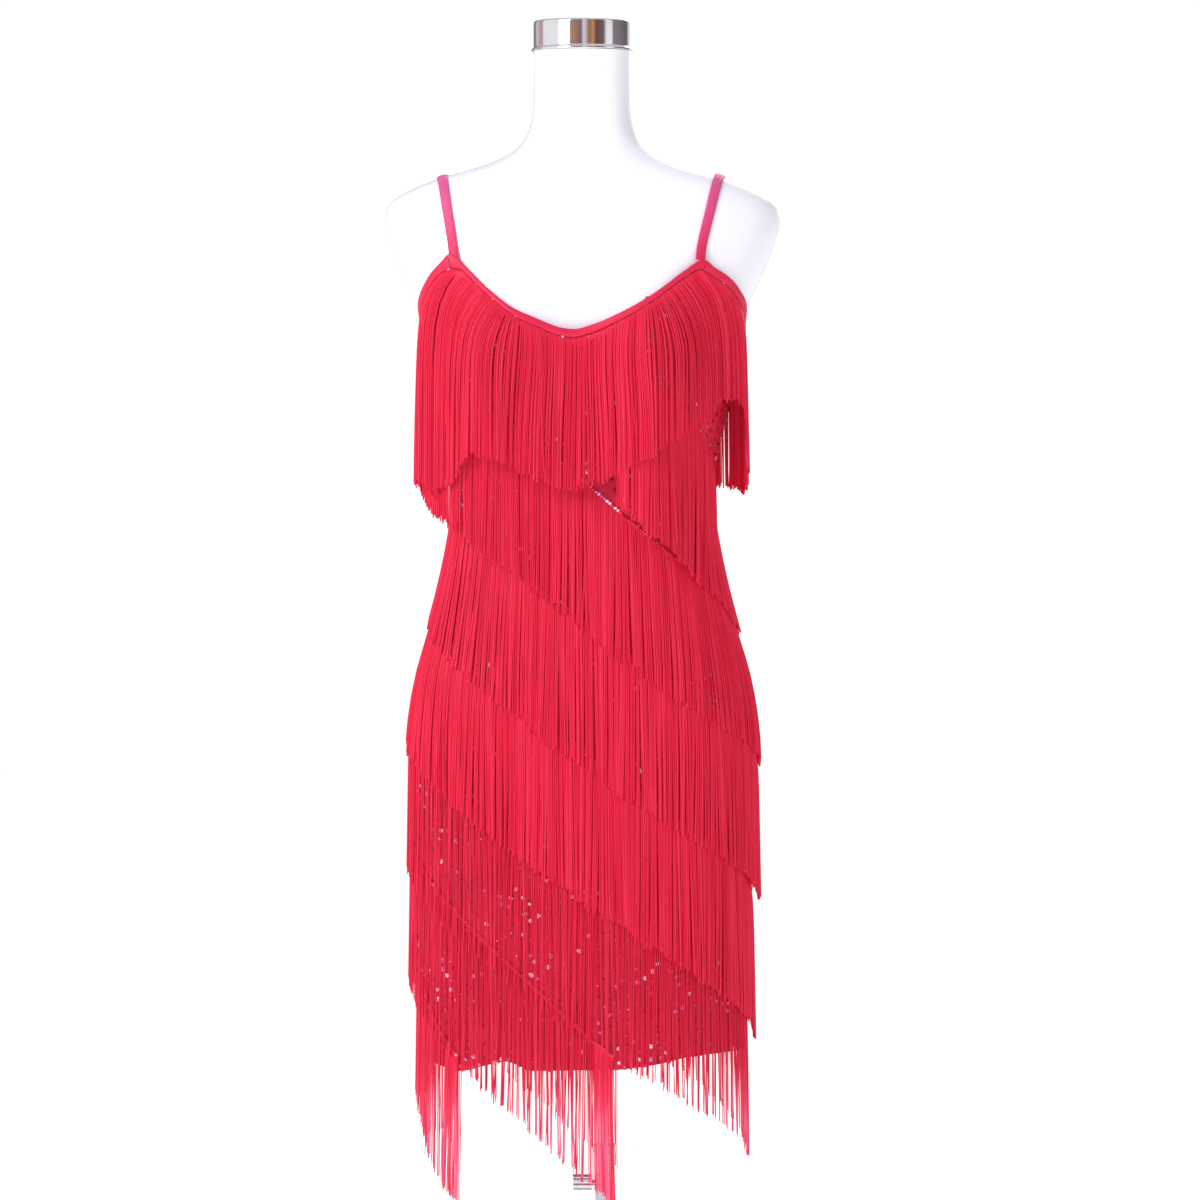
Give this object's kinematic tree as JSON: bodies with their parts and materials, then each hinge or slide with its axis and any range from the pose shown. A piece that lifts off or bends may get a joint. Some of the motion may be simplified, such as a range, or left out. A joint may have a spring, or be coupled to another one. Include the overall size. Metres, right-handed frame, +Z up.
{
  "type": "fringed flapper dress on a limbless dress form with an adjustable stand",
  "caption": "Knee-length strappy dress with slanting rows of long fringe, on an armless dress form and a round-based pole whose clamp sets the height.",
  "frame": {"origin": "on the floor at the pole's axis, under the middle of the base plate", "axes": "+Z up, the wearer faces -Y, +X is to the right as seen from the front"},
  "size_m": [0.3981, 0.36, 1.5168],
  "materials": {
    "sequin_cloth": "red knitted cloth sewn all over with small sequins",
    "binding": "red satin bias binding and straps",
    "fringe": "bright red rayon chainette fringe with a soft sheen",
    "form_shell": "smooth white glossy shell",
    "chrome": "polished chrome",
    "knob": "chrome-plated cast metal"
  },
  "bodies": {
    "stand": {"base_plate": "chrome", "outer_tube": "chrome", "clamp_collar": "chrome"},
    "form_and_dress": {"armhole_binding_left": "binding", "armhole_binding_right": "binding", "back_binding": "binding", "dress_back": "sequin_cloth", "dress_front": "sequin_cloth", "form_flange": "chrome", "form_torso": "form_shell", "fringe_bust_back": "fringe", "fringe_bust_front": "fringe", "fringe_row2_back": "fringe", "fringe_row2_front": "fringe", "fringe_row3_back": "fringe", "fringe_row3_front": "fringe", "fringe_row4_back": "fringe", "fringe_row4_front": "fringe", "fringe_row5_back": "fringe", "fringe_row5_front": "fringe", "fringe_row6_back": "fringe", "fringe_row6_front": "fringe", "fringe_row7_back": "fringe", "fringe_row7_front": "fringe", "fringe_row8_back": "fringe", "fringe_row8_front": "fringe", "inner_pole": "chrome", "neck_binding": "binding", "neck_cap": "chrome", "strap_left": "binding", "strap_right": "binding"},
    "knob": {"clamp_knob": "knob"}
  },
  "joints": [
    {"name": "height_slide", "type": "slide", "parent": "stand", "child": "form_and_dress", "axis": [0, 0, 1], "range_m": [-0.12, 0.12]},
    {"name": "knob_turn", "type": "hinge", "parent": "stand", "child": "knob", "pos_m": [-0.022, 0, 0.353], "axis": [1, 0, 0], "range_deg": [0, 360]}
  ]
}
